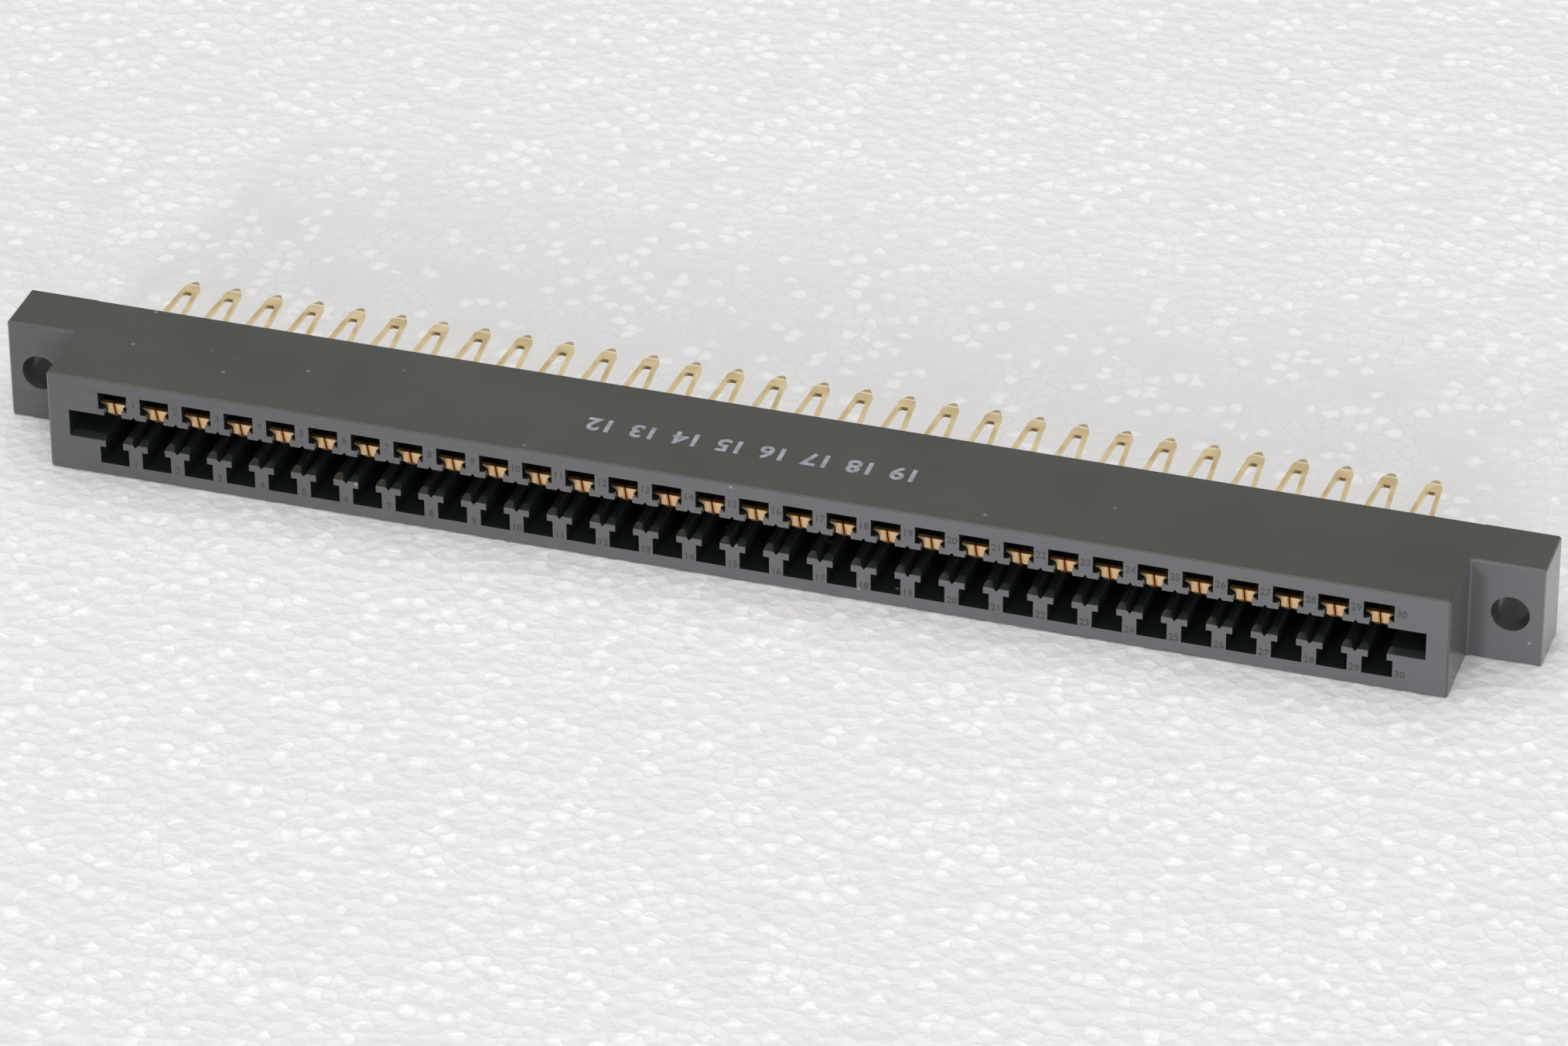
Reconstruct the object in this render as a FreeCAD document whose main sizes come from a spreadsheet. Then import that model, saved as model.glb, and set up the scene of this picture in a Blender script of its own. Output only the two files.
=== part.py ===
"""Card edge connector: one moulded housing and a single row of thirty stamped contacts.

Millimetres. X runs along the row, -Y is the side that the card goes in at, +Y the side of the
solder tails, and the housing lies on its broad side with the loaded row of contacts uppermost.
The origin is on the surface that it lies on, at the middle of the whole connector.
"""
import FreeCAD, Part
import os

import Sketcher

Vector = FreeCAD.Vector

SIZES = {
    # row
    "pitch": 3.96,              # contact to contact along the row
    "positions": 30,            # contact positions in a row
    # housing, outside
    "body_height": 9.8,         # broad side to broad side
    "body_depth": 13.0,         # mating face to the rear faces of the ears
    "end_span": 4.18,           # middle of the last contact to the end of the card slot
    "end_wall": 2.0,            # end of the card slot to the end of the body
    "rear_relief": 0.27,        # the body's rear face stands this far in from the ears' faces
    "ear_reach": 6.6,           # an ear beyond the end of the body
    "ear_setback": 7.1,         # mating face to the front faces of the ears
    "hole_diameter": 3.4,       # mounting hole through each ear
    "hole_offset": 3.65,        # end of the body to the middle of the mounting hole
    "edge_break": 0.2,          # broken outer edges of the moulding
    # card slot
    "slot_height": 2.0,         # clear height for a 1.6 card
    "slot_depth": 8.0,          # card stop behind the mating face
    "lead_height": 0.35,        # lead-in at the mouth of the slot, on each side
    "lead_depth": 0.75,         # how far back the lead-in runs
    # contact cavities
    "cavity_width": 2.7,        # wide part of a cavity, which takes the wings of the contact
    "cavity_wall": 1.28,        # broad side to the wide part of a cavity
    "cavity_rise": 1.67,        # height of the wide part of a cavity
    "rear_wall": 2.4,           # wall behind the cavities, which the contact's shoulders seat on
    "throat_width": 1.65,       # gap between the two lips that hold the wings back
    "lip_corner": 0.2,          # cut corner of the lips beside the slot
    "notch_width": 0.95,        # keying notch in the foot of each rib
    "notch_rise": 0.62,         # height of the keying notch
    # contact
    "strip": 0.32,              # stock thickness
    "strip_width": 2.45,        # wings and shoulders
    "strip_gap": 0.25,          # contact's base to the outer wall of the cavity
    "waist_width": 1.5,         # the two tines where they pass between the lips
    "wing_gap": 0.05,           # wings above the lips that they rest on
    "wing_taper": 0.4,          # height over which the wings narrow to the waist
    "tine_gap": 0.14,           # slit between the tines
    "slit_margin": 1.0,         # root of the spring to the end of the slit
    "tip_setback": 0.55,        # mating face to the tip of the tines
    "tip_drop": 2.35,           # broad side to the tip of the tines
    "shin_setback": 1.0,        # mating face to the kink below the wings
    "shin_drop": 3.65,          # broad side to that kink
    "touch_setback": 2.1,       # mating face to the flat that touches the card
    "touch_run": 0.7,           # length of that flat
    "touch_lift": 0.36,         # middle of the slot to the middle of the stock there
    "base_run": 2.4,            # flat base of the contact in front of its shoulders
    # solder tail
    "tail_reach": 8.0,          # tip of the tail behind the ears' rear faces
    "tail_width": 2.2,          # through the rear wall and along the legs of the eye
    "tail_fit": 0.04,           # tail to the side of its slot in the rear wall
    "tail_lift": 0.06,          # tail to the top and bottom of its slot in the rear wall
    "leg_run": 5.9,             # tip of the tail to where the legs are fully apart
    "head_width": 1.6,          # solid head beyond the eye
    "head_run": 2.0,            # tip of the tail to where the legs leave the head
    "point_run": 1.35,          # length of the point
    "point_width": 0.34,        # blunt end of the point
    "shoulder_run": 0.75,       # tip of the tail to the middle corner of the point's sides
    "shoulder_width": 1.16,     # width of the point there
    "coin_run": 0.8,            # coined bevel on both faces of the point
    "coin_depth": 0.12,
    "eye_tip": 2.15,            # tip of the tail to the far end of the eye
    "eye_root": 7.5,            # tip of the tail to the near end of the eye
    "eye_width": 1.38,          # between the legs where they are fully apart
    "eye_narrow": 0.84,         # far end of the eye
    "eye_corner": 0.2,          # cut corners of the eye
}

MIDDLE = "Sizes.body_height / 2"
SLOT_TOP = MIDDLE + " + Sizes.slot_height / 2"
SLOT_FLOOR = MIDDLE + " - Sizes.slot_height / 2"
CAVITY_TOP = "Sizes.body_height - Sizes.cavity_wall"
LIP_TOP = CAVITY_TOP + " - Sizes.cavity_rise"
LOWER_LIP = "Sizes.cavity_wall + Sizes.cavity_rise"
FIRST_X = "-(Sizes.positions - 1) * Sizes.pitch / 2"
BODY_END = "((Sizes.positions - 1) * Sizes.pitch / 2 + Sizes.end_span + Sizes.end_wall)"
SLOT_LENGTH = "(Sizes.positions - 1) * Sizes.pitch + 2 * Sizes.end_span"
CAVITY_END = "(Sizes.body_depth - Sizes.rear_wall)"
STRIP_Z = CAVITY_TOP + " - Sizes.strip_gap - Sizes.strip / 2"
TAIL_TIP = "(Sizes.body_depth + Sizes.tail_reach)"
ROW_Y = "-" + TAIL_TIP + " / 2"


def make_sheet(doc):
    """Write every driving size into the sheet, one named cell each."""
    sheet = doc.addObject("Spreadsheet::Sheet", "Sizes")
    for row, (name, value) in enumerate(SIZES.items(), start=1):
        sheet.set("A%d" % row, name)
        sheet.set("B%d" % row, str(value))
        sheet.setAlias("B%d" % row, name)
    doc.recompute()
    return sheet


def origin_plane(body, role):
    """One of the body's own origin planes or axes."""
    return next(item for item in body.Origin.OriginFeatures if item.Role == role)


def new_sketch(body, name, role, lift=None):
    """A sketch on an origin plane, lifted along the plane's normal by an expression."""
    sketch = body.newObject("Sketcher::SketchObject", name)
    sketch.AttachmentSupport = [(origin_plane(body, role), "")]
    sketch.MapMode = "FlatFace"
    if lift:
        sketch.setExpression("AttachmentOffset.Base.z", lift)
    return sketch


def bind(sketch, kind, where, expression):
    """Add one dimension to a sketch and tie it to the sheet."""
    value = sketch.evalExpression(expression)
    index = sketch.addConstraint(Sketcher.Constraint(kind, *where, value))
    sketch.setExpression("Constraints[%d]" % index, expression)


def draw_outline(sketch, corners, closed=True):
    """Draw straight sides through the corners, each an (x, y) pair of expressions."""
    points = [Vector(sketch.evalExpression(x), sketch.evalExpression(y), 0) for x, y in corners]
    following = points[1:] + points[:1] if closed else points[1:]
    lines = [sketch.addGeometry(Part.LineSegment(*ends), False) for ends in zip(points, following)]
    for before, line in zip(lines, lines[1:]):
        sketch.addConstraint(Sketcher.Constraint("Coincident", before, 2, line, 1))
    places = [(line, 1) for line in lines]
    if closed:
        sketch.addConstraint(Sketcher.Constraint("Coincident", lines[-1], 2, lines[0], 1))
    else:
        places.append((lines[-1], 2))
    for place, (x, y) in zip(places, corners):
        bind(sketch, "DistanceX", place, x)
        bind(sketch, "DistanceY", place, y)


def mirrored(corners):
    """The same corners on the other side of the outline's middle line, in reverse order."""
    return [("-(%s)" % x, y) for x, y in reversed(corners)]


def draw_circle(sketch, x, y, diameter):
    """Draw a circle whose middle and diameter are expressions."""
    middle = Vector(sketch.evalExpression(x), sketch.evalExpression(y), 0)
    circle = Part.Circle(middle, Vector(0, 0, 1), sketch.evalExpression(diameter) / 2)
    index = sketch.addGeometry(circle, False)
    bind(sketch, "DistanceX", (index, 3), x)
    bind(sketch, "DistanceY", (index, 3), y)
    bind(sketch, "Diameter", (index,), diameter)


def pad(body, sketch, name, length):
    """Pad a sketch by an expression, away from its plane."""
    feature = body.newObject("PartDesign::Pad", name)
    feature.Profile = sketch
    feature.setExpression("Length", length)
    return feature


def cut_depth(body, sketch, name, depth, reverse):
    """Pocket a sketch to a depth, and make sure that it took material away."""
    before = body.Tip.Shape.Volume
    feature = body.newObject("PartDesign::Pocket", name)
    feature.Profile = sketch
    feature.Reversed = reverse
    feature.setExpression("Length", depth)
    body.Document.recompute()
    check_cut(feature, before)
    return feature


def cut_both_ways(body, sketch, name, length):
    """Pocket a sketch to both sides of its plane, over a whole length."""
    before = body.Tip.Shape.Volume
    feature = body.newObject("PartDesign::Pocket", name)
    feature.Profile = sketch
    feature.Midplane = True
    feature.setExpression("Length", length)
    body.Document.recompute()
    check_cut(feature, before)
    return feature


def check_cut(feature, volume_before):
    """Stop if a pocket missed the solid."""
    if feature.Shape.isNull() or feature.Shape.Volume >= volume_before:
        raise RuntimeError(feature.Label + " takes nothing away")


def repeat_along_row(body, originals, name, occurrences):
    """Repeat features at the pitch of the contacts."""
    pattern = body.newObject("PartDesign::LinearPattern", name)
    pattern.Originals = originals
    pattern.Direction = (origin_plane(body, "X_Axis"), [""])
    pattern.setExpression("Occurrences", occurrences)
    pattern.setExpression("Length", "(%s - 1) * Sizes.pitch" % occurrences)
    body.Tip = pattern
    body.Document.recompute()
    return pattern


def place(body, x):
    """Put a body in the connector's frame, with the whole depth centred on the origin."""
    body.setExpression("Placement.Base.x", x)
    body.setExpression("Placement.Base.y", ROW_Y)


def build_housing(doc):
    """The moulded insulator: a long block with an ear at each end, slotted for the card."""
    body = doc.addObject("PartDesign::Body", "housing")
    body.Label = "housing"

    # The block and its ears, seen from the broad side, with all outer edges broken.
    plan = new_sketch(body, "housing_plan", "XY_Plane")
    ear_end = BODY_END + " + Sizes.ear_reach"
    draw_outline(plan, [
        ("-" + BODY_END, "0"),
        (BODY_END, "0"),
        (BODY_END, "Sizes.ear_setback"),
        (ear_end, "Sizes.ear_setback"),
        (ear_end, "Sizes.body_depth"),
        ("-(" + ear_end + ")", "Sizes.body_depth"),
        ("-(" + ear_end + ")", "Sizes.ear_setback"),
        ("-" + BODY_END, "Sizes.ear_setback"),
    ])
    block = pad(body, plan, "housing_block", "Sizes.body_height")
    doc.recompute()
    break_edges(body, block)

    # The rear face stands in a little between the ears.
    relief = new_sketch(body, "rear_relief_outline", "XY_Plane")
    draw_outline(relief, [
        ("-" + BODY_END, "Sizes.body_depth - Sizes.rear_relief"),
        (BODY_END, "Sizes.body_depth - Sizes.rear_relief"),
        (BODY_END, "Sizes.body_depth + Sizes.rear_relief"),
        ("-" + BODY_END, "Sizes.body_depth + Sizes.rear_relief"),
    ])
    cut_depth(body, relief, "rear_relief", "Sizes.body_height", True)

    # The card slot, a funnel in section, cut over its whole length.
    funnel = new_sketch(body, "slot_section", "YZ_Plane")
    draw_outline(funnel, [
        ("0", SLOT_FLOOR + " - Sizes.lead_height"),
        ("Sizes.lead_depth", SLOT_FLOOR),
        ("Sizes.slot_depth", SLOT_FLOOR),
        ("Sizes.slot_depth", SLOT_TOP),
        ("Sizes.lead_depth", SLOT_TOP),
        ("0", SLOT_TOP + " + Sizes.lead_height"),
    ])
    cut_both_ways(body, funnel, "card_slot", SLOT_LENGTH)

    # A mounting hole through each ear.
    holes = new_sketch(body, "ear_hole_outline", "XZ_Plane")
    for side in ("", "-"):
        draw_circle(holes, side + "(" + BODY_END + " + Sizes.hole_offset)", MIDDLE,
                    "Sizes.hole_diameter")
    cut_depth(body, holes, "ear_holes", "Sizes.body_depth", False)

    # One pair of cavities: the mouths with their lips as deep as the slot, the wide parts
    # back to the rear wall, and the slots for the tails through that wall.
    first = cut_depth(body, draw_mouths(body), "cavity_mouths", "Sizes.slot_depth", False)
    deep = cut_depth(body, draw_pair(body, "cavity_back_outline", "Sizes.cavity_width",
                                     "Sizes.cavity_wall", "Sizes.cavity_rise"),
                     "cavity_backs", CAVITY_END, False)
    tail_slots = draw_pair(body, "tail_slot_outline", "Sizes.tail_width + 2 * Sizes.tail_fit",
                           "Sizes.cavity_wall + Sizes.strip_gap - Sizes.tail_lift",
                           "Sizes.strip + 2 * Sizes.tail_lift")
    exits = cut_depth(body, tail_slots, "tail_slots", "Sizes.body_depth", False)
    repeat_along_row(body, [first, deep, exits], "cavity_row", "Sizes.positions")

    # A keying notch in the foot of each rib, between one pair of cavities and the next.
    notch = new_sketch(body, "notch_outline", "XZ_Plane")
    middle_x = "(" + FIRST_X + " + Sizes.pitch / 2)"
    left = middle_x + " - Sizes.notch_width / 2"
    right = middle_x + " + Sizes.notch_width / 2"
    draw_outline(notch, [
        (left, SLOT_FLOOR),
        (middle_x, SLOT_FLOOR + " - Sizes.notch_rise"),
        (right, SLOT_FLOOR),
        (right, SLOT_TOP),
        (middle_x, SLOT_TOP + " + Sizes.notch_rise"),
        (left, SLOT_TOP),
    ])
    groove = cut_depth(body, notch, "rib_notch", "Sizes.slot_depth", False)
    repeat_along_row(body, [groove], "notch_row", "(Sizes.positions - 1)")
    place(body, "0")
    return body


def break_edges(body, block):
    """Break every outer edge of the moulding."""
    broken = body.newObject("PartDesign::Chamfer", "edge_break")
    broken.Base = (block, ["Face1"])
    broken.UseAllEdges = True
    broken.setExpression("Size", "Sizes.edge_break")
    body.Document.recompute()


def draw_mouths(body):
    """The front outline of one pair of cavities, with the lips of both as seen from the front."""
    sketch = new_sketch(body, "cavity_mouth_outline", "XZ_Plane")
    half_wide = "Sizes.cavity_width / 2"
    half_throat = "Sizes.throat_width / 2"
    corner_x = "(" + half_throat + " + Sizes.lip_corner)"
    top_side = [
        (corner_x, SLOT_TOP),
        (half_throat, SLOT_TOP + " + Sizes.lip_corner"),
        (half_throat, LIP_TOP),
        (half_wide, LIP_TOP),
        (half_wide, CAVITY_TOP),
    ]
    floor_side = [
        (half_wide, "Sizes.cavity_wall"),
        (half_wide, LOWER_LIP),
        (half_throat, LOWER_LIP),
        (half_throat, SLOT_FLOOR + " - Sizes.lip_corner"),
        (corner_x, SLOT_FLOOR),
    ]
    right = floor_side + top_side
    right_half = [(FIRST_X + " + " + x, z) for x, z in right]
    left_half = [(FIRST_X + " - " + x, z) for x, z in reversed(right)]
    draw_outline(sketch, right_half + left_half)
    return sketch


def draw_pair(body, name, width, wall, rise):
    """Two equal rectangles at the first position, one in each row."""
    sketch = new_sketch(body, name, "XZ_Plane")
    left = FIRST_X + " - (" + width + ") / 2"
    right = FIRST_X + " + (" + width + ") / 2"
    near = wall
    far = wall + " + " + rise
    draw_outline(sketch, [(left, near), (right, near), (right, far), (left, far)])
    near = "Sizes.body_height - (" + near + ")"
    far = "Sizes.body_height - (" + far + ")"
    draw_outline(sketch, [(left, far), (right, far), (right, near), (left, near)])
    return sketch


def build_contact(doc, name):
    """One stamping: a two-tined spring, shoulders on the rear wall and a solder eyelet."""
    body = doc.addObject("PartDesign::Body", name)
    body.Label = name

    # The stock, bent along its run from the shoulders to the tips of the tines.
    run = new_sketch(body, "spring_run", "YZ_Plane")
    draw_outline(run, [
        (CAVITY_END, STRIP_Z),
        (CAVITY_END + " - Sizes.base_run", STRIP_Z),
        ("Sizes.touch_setback + Sizes.touch_run", MIDDLE + " + Sizes.touch_lift"),
        ("Sizes.touch_setback", MIDDLE + " + Sizes.touch_lift"),
        ("Sizes.shin_setback", "Sizes.body_height - Sizes.shin_drop"),
        ("Sizes.tip_setback", "Sizes.body_height - Sizes.tip_drop"),
    ], closed=False)
    section = new_sketch(body, "stock_section", "XZ_Plane", "-" + CAVITY_END)
    half = "Sizes.strip_width / 2"
    lower = STRIP_Z + " - Sizes.strip / 2"
    upper = STRIP_Z + " + Sizes.strip / 2"
    draw_outline(section, [("-" + half, lower), (half, lower), (half, upper), ("-" + half, upper)])
    doc.recompute()
    spring = body.newObject("PartDesign::AdditivePipe", "spring_stock")
    spring.Profile = section
    spring.Spine = (run, [])
    spring.Mode = "Standard"
    spring.Transition = "Right corner"
    doc.recompute()

    # The tail and its eye, cut from the same stock behind the shoulders.
    outline = new_sketch(body, "tail_outline", "XY_Plane", STRIP_Z + " - Sizes.strip / 2")
    half_tail = "Sizes.tail_width / 2"
    half_head = "Sizes.head_width / 2"
    half_point = "Sizes.point_width / 2"
    right_side = [
        (half_tail, CAVITY_END),
        (half_tail, TAIL_TIP + " - Sizes.leg_run"),
        (half_head, TAIL_TIP + " - Sizes.head_run"),
        (half_head, TAIL_TIP + " - Sizes.point_run"),
        ("Sizes.shoulder_width / 2", TAIL_TIP + " - Sizes.shoulder_run"),
        (half_point, TAIL_TIP),
    ]
    draw_outline(outline, right_side + mirrored(right_side))
    eye_near = TAIL_TIP + " - Sizes.eye_root"
    eye_far = TAIL_TIP + " - Sizes.eye_tip"
    eye_side = [
        ("Sizes.eye_width / 2 - Sizes.eye_corner", eye_near),
        ("Sizes.eye_width / 2", eye_near + " + Sizes.eye_corner"),
        ("Sizes.eye_width / 2", TAIL_TIP + " - Sizes.leg_run"),
        ("Sizes.eye_narrow / 2", eye_far + " - Sizes.eye_corner"),
        ("Sizes.eye_narrow / 2 - Sizes.eye_corner", eye_far),
    ]
    draw_outline(outline, eye_side + mirrored(eye_side))
    pad(body, outline, "solder_tail", "Sizes.strip")
    doc.recompute()

    # The waist: both sides are cut in below the lips, so the wings rest on them.
    waist = new_sketch(body, "waist_outline", "XZ_Plane")
    wing_foot = LIP_TOP + " + Sizes.wing_gap"
    wing_edge = wing_foot + " + Sizes.wing_taper"
    for side in ("", "-"):
        draw_outline(waist, [
            (side + "Sizes.waist_width / 2", "0"),
            (side + "Sizes.waist_width / 2", wing_foot),
            (side + "Sizes.strip_width / 2", wing_edge),
            (side + "Sizes.strip_width", wing_edge),
            (side + "Sizes.strip_width", "0"),
        ])
    cut_depth(body, waist, "waist", CAVITY_END + " - Sizes.base_run", False)

    # The slit that makes two tines of the spring.
    slit = new_sketch(body, "slit_outline", "XY_Plane")
    half_gap = "Sizes.tine_gap / 2"
    slit_end = CAVITY_END + " - Sizes.base_run - Sizes.slit_margin"
    draw_outline(slit, [
        ("-" + half_gap, "0"),
        (half_gap, "0"),
        (half_gap, slit_end),
        ("-" + half_gap, slit_end),
    ])
    cut_depth(body, slit, "tine_slit", "Sizes.body_height", True)

    # The coined point: a shallow bevel on both faces of the tail's end.
    coin = new_sketch(body, "coin_outline", "YZ_Plane")
    bevel_start = TAIL_TIP + " - Sizes.coin_run"
    for face, inward in ((lower, "+"), (upper, "-")):
        draw_outline(coin, [
            (bevel_start, face),
            (TAIL_TIP, face),
            (TAIL_TIP, face + inward + "Sizes.coin_depth"),
        ])
    cut_both_ways(body, coin, "coined_point", "Sizes.strip_width")
    place(body, FIRST_X)
    return body


def copy_contact(doc, first, name, number):
    """A further contact of the same stamping, further along the row."""
    body = doc.addObject("PartDesign::Body", name)
    body.Label = name
    copy = doc.addObject("PartDesign::FeatureBase", name + "_form")
    body.Group = [copy]
    copy.BaseFeature = first
    body.Tip = copy
    place(body, FIRST_X + " + %d * Sizes.pitch" % number)
    return body


def check_and_export(doc, bodies):
    """Stop on any failed object or bad shape, then write one file per piece."""
    for item in doc.Objects:
        if "Invalid" in item.State or "Error" in item.State:
            raise RuntimeError(item.Label + " did not recompute: " + ", ".join(item.State))
    for body in bodies:
        if body.Shape.isNull() or not body.Shape.isValid() or len(body.Shape.Solids) != 1:
            raise RuntimeError(body.Label + " is not one sound solid")
    os.makedirs("parts", exist_ok=True)
    for body in bodies:
        body.Shape.exportStep("parts/%s.step" % body.Label)
        print(body.Label, round(body.Shape.Volume, 3), body.Shape.BoundBox)


doc = FreeCAD.newDocument("card_edge_connector")
sheet = make_sheet(doc)
housing = build_housing(doc)
first_contact = build_contact(doc, "contact_01")
contacts = [first_contact]
for number in range(1, int(sheet.positions)):
    contacts.append(copy_contact(doc, first_contact, "contact_%02d" % (number + 1), number))
doc.recompute()
check_and_export(doc, [housing] + contacts)
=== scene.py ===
"""Looks of a card edge connector: charcoal moulding, gilt spring contacts, a white foam sheet.

Metres. X runs along the row of contacts, -Y is the side that the card goes in at, and the
connector lies on Z = 0 with its loaded row uppermost.
"""
import math

import bpy
from mathutils import Matrix, Vector


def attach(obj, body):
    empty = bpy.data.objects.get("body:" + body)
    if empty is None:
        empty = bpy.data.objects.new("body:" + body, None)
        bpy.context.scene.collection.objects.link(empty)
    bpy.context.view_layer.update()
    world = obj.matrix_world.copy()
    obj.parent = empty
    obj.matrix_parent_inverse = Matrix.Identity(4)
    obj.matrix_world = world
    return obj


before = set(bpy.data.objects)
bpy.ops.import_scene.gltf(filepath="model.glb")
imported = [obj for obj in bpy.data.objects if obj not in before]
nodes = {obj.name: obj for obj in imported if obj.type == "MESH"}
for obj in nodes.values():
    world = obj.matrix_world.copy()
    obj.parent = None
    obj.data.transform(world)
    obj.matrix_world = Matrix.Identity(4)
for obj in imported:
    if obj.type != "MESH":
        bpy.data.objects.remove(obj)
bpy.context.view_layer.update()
mm = 0.001


# The view: a long lens from the front right, a little above the row, as close as the frame
# allows. It looks at a point just right of the middle of the mating face.
azimuth = math.radians(17.609)
elevation = math.radians(32.507)
roll = math.radians(-0.308)
aim = Vector((4.707, -10.5, 6.739)) * mm
reach = 683.6 * mm
back = Vector((math.sin(azimuth) * math.cos(elevation),
               -math.cos(azimuth) * math.cos(elevation),
               math.sin(elevation)))
level = Vector((0, 0, 1)).cross(back).normalized()
upright = back.cross(level)
right = math.cos(roll) * level + math.sin(roll) * upright
up = math.cos(roll) * upright - math.sin(roll) * level
turned = Matrix((right, up, back)).transposed().to_4x4()
bpy.ops.object.camera_add()
camera = bpy.context.object
camera.name = "long_lens"
camera.matrix_world = Matrix.Translation(aim + back * reach) @ turned
camera.data.sensor_width = 36
camera.data.lens = 181.94
camera.data.clip_start = 0.01
bpy.context.scene.camera = camera


# The moulding: one block of charcoal thermoplastic, half glossy, with faint flow marks, dust and
# fine scuffs. The mating face and the side faces are painted lighter and bluer, a painted
# reflection of the white foam that grows towards the right; the card slot and the cavities are
# painted darker as painted shade; and the ends of the ears are painted pale, a painted highlight
# standing in for light from the right. The sizes place the finishes and are those of the solid.
class Socket:
    """A socket of a material, so that Python sums and products become Math nodes."""

    def __init__(self, tree, socket):
        self.tree = tree
        self.socket = socket

    def node(self, kind, inputs=(), output=0, **settings):
        """Add a node, set it up, feed its sockets with values or links, and give one output."""
        made = self.tree.nodes.new(kind)
        for name, value in settings.items():
            setattr(made, name, value)
        for name, value in dict(inputs).items():
            if isinstance(value, Socket):
                self.tree.links.new(value.socket, made.inputs[name])
            else:
                made.inputs[name].default_value = value
        return Socket(self.tree, made.outputs[output])

    def maths(self, operation, *others):
        """Work on this value, and on the others after it."""
        return self.node("ShaderNodeMath", enumerate((self, *others)), operation=operation)

    def __add__(self, other):
        return self.maths("ADD", other)

    __radd__ = __add__

    def __sub__(self, other):
        return self.maths("SUBTRACT", other)

    def __rsub__(self, other):
        return self.node("ShaderNodeMath", enumerate((other, self)), operation="SUBTRACT")

    def __mul__(self, other):
        return self.maths("MULTIPLY", other)

    def between(self, low, high):
        """0 below low, 1 above high, and a ramp from one to the other."""
        return self.node("ShaderNodeMapRange", {"Value": self, "From Min": low, "From Max": high})

    def blend(self, first, second):
        """Mix two colours by this value."""
        return self.node("ShaderNodeMix", {0: self, 6: first, 7: second}, output=2,
                         data_type="RGBA")

    def axes(self):
        """The x, the y and the z of a place."""
        return [self.node("ShaderNodeSeparateXYZ", {"Vector": self}, output=axis)
                for axis in range(3)]


def new_material(name):
    """An empty material with a Principled shader, and the place on the piece to paint it by."""
    material = bpy.data.materials.new(name)
    material.use_nodes = True
    tree = material.node_tree
    shader = tree.nodes["Principled BSDF"]
    place = Socket(tree, tree.nodes.new("ShaderNodeTexCoord").outputs["Object"])
    return material, shader, place


def drive(shader, name, value):
    """Feed one socket of the shader."""
    value.tree.links.new(value.socket, shader.inputs[name])


front_y = -10.5 * mm
ear_front_y = -3.4 * mm
cavity_end_y = 0.1 * mm
body_end_x = 63.6 * mm
ear_end_x = 70.2 * mm
top_z = 9.8 * mm
middle_z = 4.9 * mm

charcoal = (0.059, 0.059, 0.052, 1)
flow_grey = (0.066, 0.066, 0.059, 1)
# Painted reflection: the mating face and the side faces take a lighter, bluer grey, standing in for
# the white foam they reflect, and lighter still towards the right.
front_sheen_grey = (0.064, 0.0635, 0.067, 1)
painted_sheen_grey = (0.093, 0.093, 0.099, 1)
scuffed = (0.13, 0.13, 0.14, 1)
# Painted shade: near black for the card slot and the cavities.
painted_recess_shade = (0.013, 0.017, 0.017, 1)
# Painted highlight: a pale tone on the ends of the ears, standing in for light from the right.
painted_end_highlight = (0.20, 0.195, 0.18, 1)
dust = (0.30, 0.30, 0.29, 1)

plastic, shader, place = new_material("charcoal_plastic")
shader.inputs["IOR"].default_value = 1.52
flow = place.node("ShaderNodeTexNoise", {"Vector": place, "Scale": 90.0, "Detail": 3.0})
grain = place.node("ShaderNodeTexNoise", {"Vector": place, "Scale": 2600.0, "Detail": 2.0})
specks = place.node("ShaderNodeTexVoronoi", {"Vector": place, "Scale": 240.0})
speck_mask = 1 - specks.between(0.035, 0.055)
along, depth, height = place.axes()
across = along.maths("ABSOLUTE")
from_middle = (height - middle_z).maths("ABSOLUTE")
behind_front = depth.between(front_y + 0.03 * mm, front_y + 0.08 * mm)
behind_ears = depth.between(ear_front_y + 0.05 * mm, ear_front_y + 0.20 * mm)
mating_face = 1 - behind_front
side_faces = across.between(body_end_x - 0.10 * mm, body_end_x - 0.02 * mm) * (1 - behind_ears)
ear_faces = side_faces * across.between(body_end_x + 0.02 * mm, body_end_x + 0.10 * mm)
front_skin = mating_face.maths("MAXIMUM", side_faces)
end_skin = across.between(ear_end_x - 0.15 * mm, ear_end_x - 0.05 * mm)
# Painted shade mask: the card slot and the cavities behind the mating face, short of the top,
# bottom and ends.
shaded_inside = behind_front - depth.between(cavity_end_y + 0.3 * mm, cavity_end_y + 0.5 * mm)
shaded_inside = shaded_inside * (1 - from_middle.between(middle_z - 0.5 * mm, middle_z - 0.3 * mm))
shaded_inside = shaded_inside * (1 - across.between(body_end_x - 1.5 * mm, body_end_x - 1.3 * mm))
streaks = place.node("ShaderNodeTexNoise", {
    "Vector": place.node("ShaderNodeMapping", {"Vector": place, "Scale": (1, 1, 2.5)}),
    "Scale": 520.0, "Detail": 4.0})
scuffs = mating_face.maths("MAXIMUM", ear_faces) * streaks.between(0.25, 0.7)
# Painted reflection ramp: the front and side faces grow lighter along the row towards the right.
sheen_ramp = along.between(-75 * mm, 10 * mm)
body_colour = flow.between(0.35, 0.65).blend(charcoal, flow_grey)
body_colour = front_skin.blend(body_colour, sheen_ramp.blend(front_sheen_grey, painted_sheen_grey))
body_colour = (scuffs * 0.12).blend(body_colour, scuffed)
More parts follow.
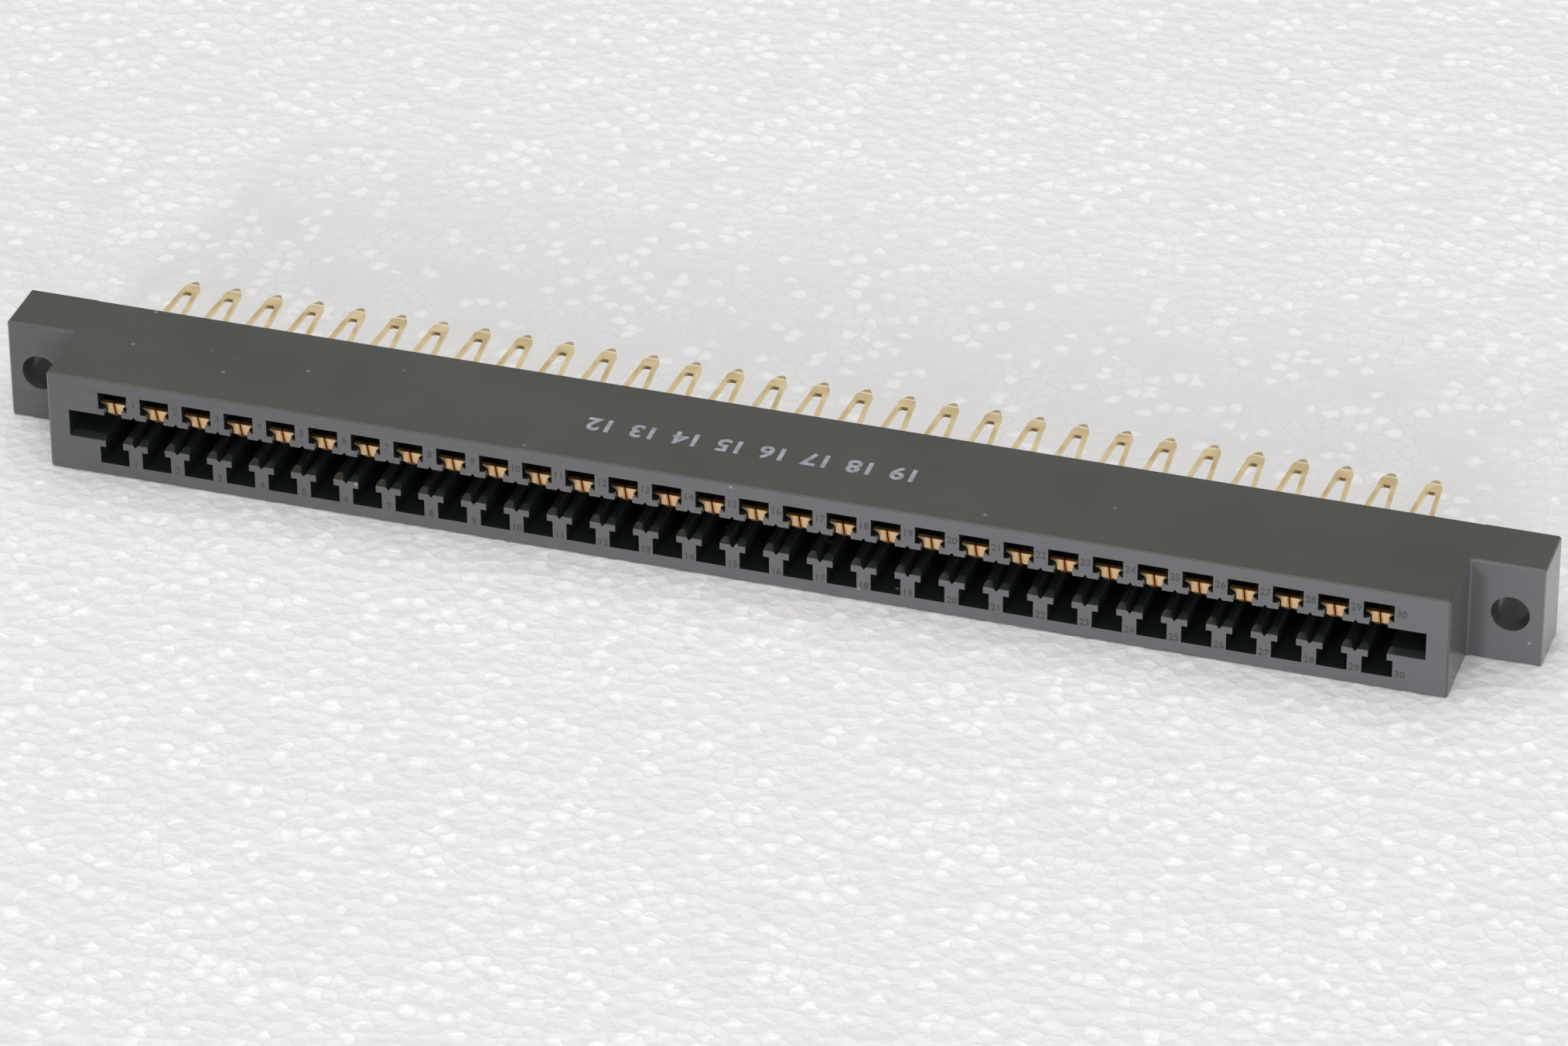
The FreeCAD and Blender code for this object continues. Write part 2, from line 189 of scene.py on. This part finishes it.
# Painted highlight on the ends of the ears.
body_colour = end_skin.blend(body_colour, painted_end_highlight)
body_colour = shaded_inside.blend(body_colour, painted_recess_shade)
body_colour = (speck_mask * 0.55).blend(body_colour, dust)
drive(shader, "Base Color", body_colour)
drive(shader, "Roughness", 0.22 + scuffs * 0.10 + flow.between(0.3, 0.7) * 0.05)
drive(shader, "Normal", place.node("ShaderNodeBump", {
    "Strength": 0.06, "Distance": 0.02 * mm, "Height": grain + flow * 2}))
nodes["housing"].data.materials.clear()
nodes["housing"].data.materials.append(plastic)


# Contact numbers stand a hair proud of the mating face beside each cavity, from figures cut in
# the tool, and are painted darker than the moulding as painted shade. They count the positions of
# each row and nothing else.
pitch = 3.96 * mm
positions = 30
first_x = -(positions - 1) * pitch / 2
upper_numbers_z = 7.75 * mm
lower_numbers_z = 1.65 * mm


def set_figures(text, height, thickness, weight, turn, middle):
    """One number as a thin solid plate of figures, turned and put in place in its mesh."""
    digit_share = 0.7
    bpy.ops.object.select_all(action="DESELECT")
    bpy.ops.object.text_add()
    figures = bpy.context.object
    figures.data.body = text
    figures.data.size = height / digit_share
    figures.data.align_x = "CENTER"
    figures.data.align_y = "CENTER"
    figures.data.extrude = thickness / 2
    figures.data.offset = weight
    figures.data.resolution_u = 3
    bpy.ops.object.convert(target="MESH")
    figures.data.transform(Matrix.Translation(middle) @ turn)
    return figures


def join_figures(pieces, name):
    """Make one piece of a whole set of numbers."""
    bpy.ops.object.select_all(action="DESELECT")
    for piece in pieces:
        piece.select_set(True)
    bpy.context.view_layer.objects.active = pieces[0]
    bpy.ops.object.join()
    pieces[0].name = name
    pieces[0].data.name = name
    return pieces[0]


facing_front = Matrix.Rotation(math.radians(90), 4, "X")
moulded = []
for number in range(positions):
    between_x = first_x + (number + 0.5) * pitch
    for z in (upper_numbers_z, lower_numbers_z):
        moulded.append(set_figures(str(number + 1), height=0.68 * mm, thickness=0.08 * mm, weight=0,
                                   turn=facing_front, middle=Vector((between_x, front_y, z))))
moulded_numbers = join_figures(moulded, "moulded_numbers")
figure_shade, shader, place = new_material("shaded_figures")
figure_mottle = place.node("ShaderNodeTexNoise", {"Vector": place, "Scale": 900.0, "Detail": 2.0})
# Painted shade: the figures are darker than the moulding around them, with a random mottle.
drive(shader, "Base Color", figure_mottle.blend((0.038, 0.038, 0.038, 1), (0.066, 0.066, 0.067, 1)))
drive(shader, "Roughness", 0.2 + figure_mottle * 0.15)
moulded_numbers.data.materials.append(figure_shade)
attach(moulded_numbers, "root")


# A short run of contact numbers is printed in light grey ink over the middle of the row,
# to be read from the tail side. Only plain numbers are there.
first_printed = 12
last_printed = 19
printed_y = -4.5 * mm
worn_ink = (0.20, 0.21, 0.24, 1)
full_ink = (0.34, 0.36, 0.41, 1)
ink, shader, place = new_material("grey_ink")
wear = place.node("ShaderNodeTexNoise", {"Vector": place, "Scale": 1500.0, "Detail": 4.0})
drive(shader, "Base Color", wear.between(0.3, 0.6).blend(worn_ink, full_ink))
drive(shader, "Roughness", 0.45 + wear * 0.2)
from_the_tails = Matrix.Rotation(math.radians(180), 4, "Z")
printed = []
for number in range(first_printed, last_printed + 1):
    over_contact = Vector((first_x + (number - 1) * pitch, printed_y, top_z))
    printed.append(set_figures(str(number), height=1.9 * mm, thickness=0.012 * mm,
                               weight=0.075 * mm, turn=from_the_tails, middle=over_contact))
printed_numbers = join_figures(printed, "printed_numbers")
printed_numbers.data.materials.append(ink)
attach(printed_numbers, "root")


# Thirty spring contacts, each one stamping of copper alloy strip with a thin gold plate. The
# plating is satin on the tails, with a painted highlight line where the point is coined and painted
# shade on the wall at the end of the eye, and richer on the tips, where it goes brown along the
# sheared edges.
tip_z = 7.45 * mm
eye_end_y = 8.35 * mm
coin_start_y = 9.63 * mm
coin_end_y = 9.83 * mm
blur = 0.03 * mm

gilt = (0.92, 0.72, 0.385, 1)
pale_gilt = (0.95, 0.80, 0.515, 1)
# Painted highlight: a pale, less metallic line across the coined point, standing in for its glint.
painted_coin_glint = (0.95, 0.86, 0.62, 1)
rich_gilt = (1.0, 0.72, 0.42, 1)
bare_copper = (0.66, 0.30, 0.09, 1)
# Painted shade for the end wall of the eye.
shaded_gilt = (0.52, 0.35, 0.15, 1)

plating, shader, place = new_material("gold_plating")
cloud = place.node("ShaderNodeTexNoise", {"Vector": place, "Scale": 500.0, "Detail": 3.0})
rolling = place.node("ShaderNodeTexNoise", {
    "Vector": place.node("ShaderNodeMapping", {"Vector": place, "Scale": (8, 0.6, 8)}),
    "Scale": 1400.0, "Detail": 2.0})
along, depth, height = place.axes()
off_centre = (along.maths("WRAP", pitch, 0.0) - 0.5 * pitch).maths("ABSOLUTE")
near_slit = 1 - off_centre.between(0.12 * mm, 0.30 * mm)
near_side = off_centre.between(0.95 * mm, 1.2 * mm)
near_top = height.between(tip_z - 0.17 * mm, tip_z)
sheared = (near_slit * 0.95 + near_side * 0.5).maths("MAXIMUM", near_top * 0.9)
tip_colour = sheared.blend(rich_gilt, bare_copper)
coining = (depth.between(coin_start_y - blur, coin_start_y + blur)
           - depth.between(coin_end_y - blur, coin_end_y + blur))
# Painted shade mask: a thin band across the end wall of the eye.
eye_wall = (depth.between(eye_end_y - 0.07 * mm, eye_end_y - 0.02 * mm)
            - depth.between(eye_end_y + 0.02 * mm, eye_end_y + 0.07 * mm))
eye_wall = eye_wall * (1 - off_centre.between(0.42 * mm, 0.50 * mm))
tail_colour = cloud.between(0.35, 0.65).blend(gilt, pale_gilt)
tail_colour = coining.blend(tail_colour, painted_coin_glint)
tail_colour = eye_wall.blend(tail_colour, shaded_gilt)
# The coined line and the eye wall lose metal, so the painted highlight and the painted shade show.
drive(shader, "Metallic", 1 - coining * 0.75 - eye_wall * 0.6)
drive(shader, "Base Color", depth.between(-2 * mm, 2 * mm).blend(tip_colour, tail_colour))
drive(shader, "Roughness", 0.30 + cloud.between(0.3, 0.7) * 0.14)
drive(shader, "Normal", place.node("ShaderNodeBump", {
    "Strength": 0.25, "Distance": 0.01 * mm, "Height": rolling}))
for number in range(1, positions + 1):
    contact = nodes["contact_%02d" % number]
    contact.data.materials.clear()
    contact.data.materials.append(plating)


# The connector lies on a white sheet of packing foam. Its skin is dull and softly uneven, and
# one cell in five or so carries a whiter fleck, a painted glint standing in for the foam's faint
# gloss.
foam_white = (0.80, 0.792, 0.797, 1)
foam_pale = (0.84, 0.835, 0.842, 1)
seam_grey = (0.70, 0.695, 0.70, 1)
# Painted highlight: a near-white tone for the glint flecks.
painted_glint_white = (0.95, 0.95, 0.955, 1)
shake = 1.1 * mm

foam, shader, place = new_material("white_foam")
shader.inputs["Specular IOR Level"].default_value = 0.1
wobble = place.node("ShaderNodeTexNoise", {"Vector": place, "Scale": 900.0, "Detail": 2.0},
                    output=1, noise_dimensions="2D")
shaken = place.node("ShaderNodeVectorMath", {0: wobble, 1: (shake, shake, shake), 2: place},
                    operation="MULTIPLY_ADD")
bubbles = {"Vector": shaken, "Scale": 620.0}
cells = place.node("ShaderNodeTexVoronoi", bubbles, voronoi_dimensions="2D")
chance = place.node("ShaderNodeTexVoronoi", bubbles, output=1, voronoi_dimensions="2D")
edges = place.node("ShaderNodeTexVoronoi", bubbles, feature="DISTANCE_TO_EDGE",
                   voronoi_dimensions="2D")
drift = place.node("ShaderNodeTexNoise", {"Vector": place, "Scale": 150.0, "Detail": 4.0},
                   noise_dimensions="2D")
# Painted highlight mask: one cell in five or so, kept to the middle of the cell.
glint_fleck = place.node("ShaderNodeSeparateColor", {"Color": chance}).between(0.76, 0.84)
glint_fleck = glint_fleck * (1 - cells.between(0.25, 0.55))
seams = (1 - edges.between(0.0, 0.10)) * drift.between(0.40, 0.60)
foam_colour = drift.between(0.3, 0.7).blend(foam_white, foam_pale)
foam_colour = (seams * 0.5).blend(foam_colour, seam_grey)
drive(shader, "Base Color", (glint_fleck * 0.75).blend(foam_colour, painted_glint_white))
drive(shader, "Roughness", 0.65 + drift * 0.3)
drive(shader, "Normal", place.node("ShaderNodeBump", {
    "Strength": 0.4, "Distance": 0.3 * mm, "Height": cells + drift}))
bpy.ops.mesh.primitive_plane_add(size=6)
sheet = bpy.context.object
sheet.name = "foam_sheet"
sheet.data.materials.append(foam)


# Soft light: a broad panel overhead, a low one far to the front right like a window, a smaller
# one to the front left that draws the edges of the ears, and a dim room.
def hang_panel(name, place_at, size, watts, tint):
    """A square light panel that faces the connector."""
    bpy.ops.object.light_add(type="AREA", location=place_at)
    panel = bpy.context.object
    panel.name = name
    panel.data.shape = "SQUARE"
    panel.data.size = size
    panel.data.energy = watts
    panel.data.color = tint
    panel.rotation_euler = (-Vector(place_at)).to_track_quat("-Z", "Y").to_euler()


hang_panel("ceiling_panel", (-0.1, 0.05, 1.5), size=2.4, watts=23.0, tint=(1.0, 0.99, 0.95))
hang_panel("window_panel", (0.8, -1.7, 0.42), size=0.7, watts=16.0, tint=(0.96, 0.97, 1.0))
hang_panel("lamp_panel", (-0.32, -1.9, 0.42), size=0.22, watts=16.0, tint=(0.97, 0.97, 1.0))
world = bpy.data.worlds.new("dim_room")
world.use_nodes = True
background = world.node_tree.nodes["Background"]
background.inputs["Color"].default_value = (0.97, 0.98, 1.0, 1)
background.inputs["Strength"].default_value = 0.30
bpy.context.scene.world = world
bpy.context.scene.view_settings.view_transform = "Standard"
